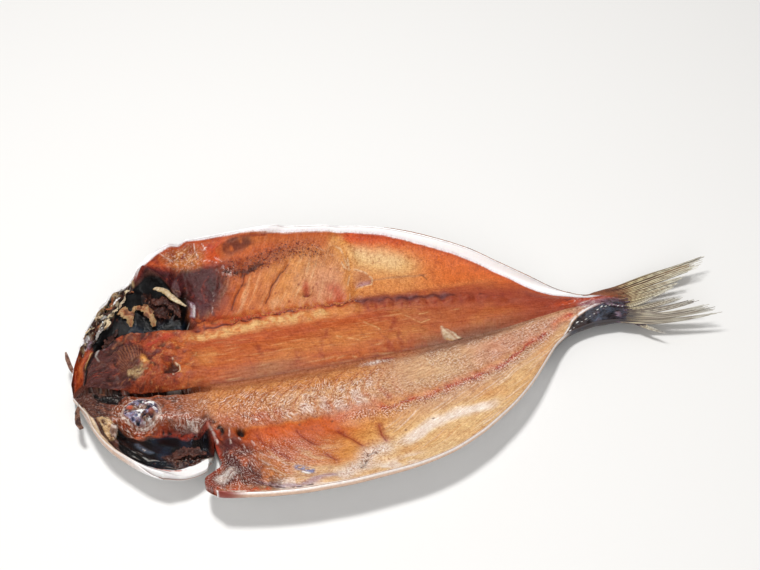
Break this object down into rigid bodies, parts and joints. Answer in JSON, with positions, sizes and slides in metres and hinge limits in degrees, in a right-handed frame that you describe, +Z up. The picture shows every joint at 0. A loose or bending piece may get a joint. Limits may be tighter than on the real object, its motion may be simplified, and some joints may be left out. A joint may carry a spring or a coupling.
{
  "type": "butterflied dried horse mackerel",
  "caption": "Dried horse mackerel split from the belly and opened flat on its back, flesh side up, with split head, gill hollows, backbone half and forked tail.",
  "frame": {"origin": "centre of the bounding box's bottom face, on the surface the fish lies on", "axes": "+X from the snout to the tail fin, +Y towards the half that keeps the backbone, +Z up out of the flesh side"},
  "size_m": [0.2372, 0.1224, 0.0183],
  "materials": {
    "flesh": "oily half-dried flesh, amber to red-brown",
    "skin": "silver skin, dark blue-green along the back, white at the belly edge",
    "fin": "dry olive-grey fin rays"
  },
  "bodies": {
    "root": {"butterflied_horse_mackerel": "flesh"}
  },
  "joints": []
}
